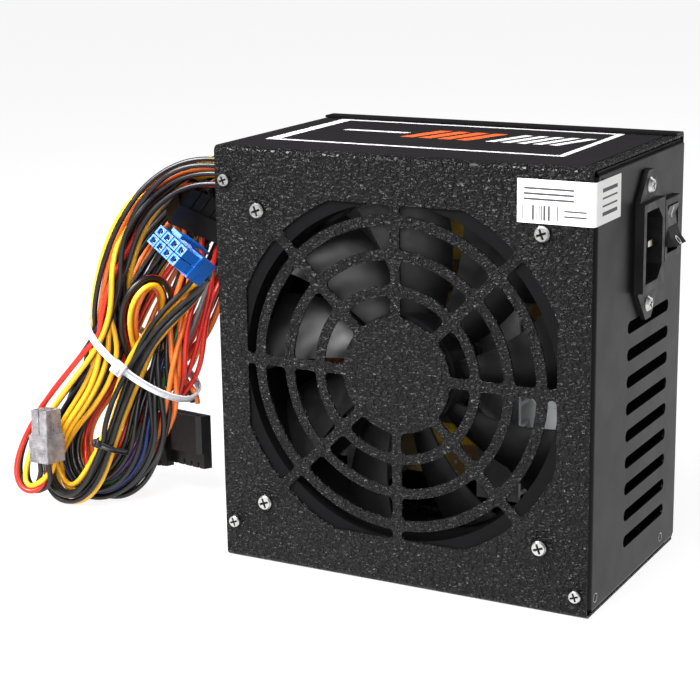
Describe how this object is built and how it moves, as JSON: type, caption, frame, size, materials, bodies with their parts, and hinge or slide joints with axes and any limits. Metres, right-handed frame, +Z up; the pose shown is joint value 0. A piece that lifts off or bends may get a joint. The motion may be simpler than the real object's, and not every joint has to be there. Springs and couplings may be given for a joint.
{
  "type": "power supply unit",
  "caption": "Desktop computer power supply in a black steel case with a round fan grille, mains inlet, rocker switch and a tied bundle of coloured output cables.",
  "frame": {"origin": "centre of the long narrow side that it stands on", "axes": "+X towards the mains panel, -Y towards the fan face, +Z up"},
  "size_m": [0.2502, 0.0874, 0.15],
  "materials": {
    "black_textured_steel": "wrinkled black paint",
    "black_satin_steel": "satin black paint",
    "zinc_screw": "bright zinc",
    "printed_label": "satin printed film",
    "white_paper": "coated paper",
    "black_plastic": "moulded, satin",
    "fan_plastic": "moulded, satin",
    "magnet": "bonded ferrite",
    "bright_steel": "ground",
    "bronze": "sintered",
    "copper_winding": "enamelled wire",
    "fibreglass_board": "soldered board",
    "brass_pin": "plated",
    "aluminium": "bare extruded",
    "capacitor_sleeve": "shrink sleeve",
    "ferrite": "ferrite",
    "yellow_tape": "polyester tape",
    "film_box": "moulded box",
    "thermistor_body": "dipped",
    "glass_tube": "clear",
    "insulation_film": "milky film",
    "wire_black": "insulated wires",
    "wire_mixed": "insulated wires, several colours",
    "connector_black": "moulded nylon",
    "connector_blue": "moulded nylon",
    "connector_grey": "moulded nylon",
    "tie_white": "natural nylon",
    "tie_black": "nylon"
  },
  "bodies": {
    "power_supply": {"cover_shell": "black_textured_steel", "base_shell": "black_satin_steel", "cover_screws": "zinc_screw", "side_label": "printed_label", "barcode_sticker": "white_paper", "fan_frame": "fan_plastic", "fan_bearing": "bronze", "fan_stator": "copper_winding", "fan_circuit_board": "fibreglass_board", "fan_screws": "zinc_screw", "mains_inlet_body": "black_plastic", "mains_inlet_pins": "brass_pin", "mains_inlet_screws": "zinc_screw", "switch_body": "black_plastic", "switch_terminals": "brass_pin", "main_board": "fibreglass_board", "board_standoffs": "bronze", "board_screws": "zinc_screw", "insulation_sheet": "insulation_film", "primary_heatsink": "aluminium", "secondary_heatsink": "aluminium", "switching_transistors": "black_plastic", "rectifier_diodes": "black_plastic", "main_transformer_core": "ferrite", "main_transformer_winding": "yellow_tape", "standby_transformer": "yellow_tape", "driver_transformer": "yellow_tape", "bulk_capacitors": "capacitor_sleeve", "output_capacitors": "capacitor_sleeve", "output_choke": "copper_winding", "mains_choke": "copper_winding", "filter_capacitors": "film_box", "fuse": "glass_tube", "thermistor": "thermistor_body", "bridge_rectifier": "black_plastic", "control_board": "fibreglass_board", "main_cable": "wire_mixed", "processor_cable": "wire_black", "peripheral_cable": "wire_mixed", "sata_cable": "wire_black", "link_cable": "wire_mixed", "main_cable_spread": "wire_mixed", "cable_grommet": "black_plastic", "main_connector": "connector_black", "processor_connector": "connector_blue", "peripheral_connector": "connector_grey", "sata_connector": "connector_black", "link_connector": "connector_black", "harness_tie": "tie_white", "cable_tie": "tie_black", "mains_wires": "wire_black", "fan_lead": "wire_black", "fan_plug": "tie_white"},
    "fan_rotor_assembly": {"fan_rotor": "fan_plastic", "fan_magnet_ring": "magnet", "fan_shaft": "bright_steel", "fan_retaining_clip": "black_plastic"},
    "power_switch_rocker": {"switch_rocker": "black_plastic"},
    "main_plug_latch": {"main_connector_latch": "connector_black"},
    "processor_plug_latch": {"processor_connector_latch": "connector_blue"}
  },
  "joints": [
    {"name": "fan_spin", "type": "hinge", "parent": "power_supply", "child": "fan_rotor_assembly", "pos_m": [0, -0.03, 0.075], "axis": [0, 1, 0], "continuous": true},
    {"name": "switch_rock", "type": "hinge", "parent": "power_supply", "child": "power_switch_rocker", "pos_m": [0.068, 0.026, 0.1192], "axis": [0, 1, 0], "range_deg": [0, 24]},
    {"name": "main_latch_press", "type": "hinge", "parent": "power_supply", "child": "main_plug_latch", "pos_m": [-0.10953, 0.00958, 0.11832], "axis": [0.5489, 0.7017, -0.4543], "range_deg": [-5, 0], "stiffness_Nm_per_rad": 0.02},
    {"name": "processor_latch_press", "type": "hinge", "parent": "power_supply", "child": "processor_plug_latch", "pos_m": [-0.09867, -0.01561, 0.10758], "axis": [0.8589, -0.2613, -0.4406], "range_deg": [-5, 0], "stiffness_Nm_per_rad": 0.02}
  ]
}
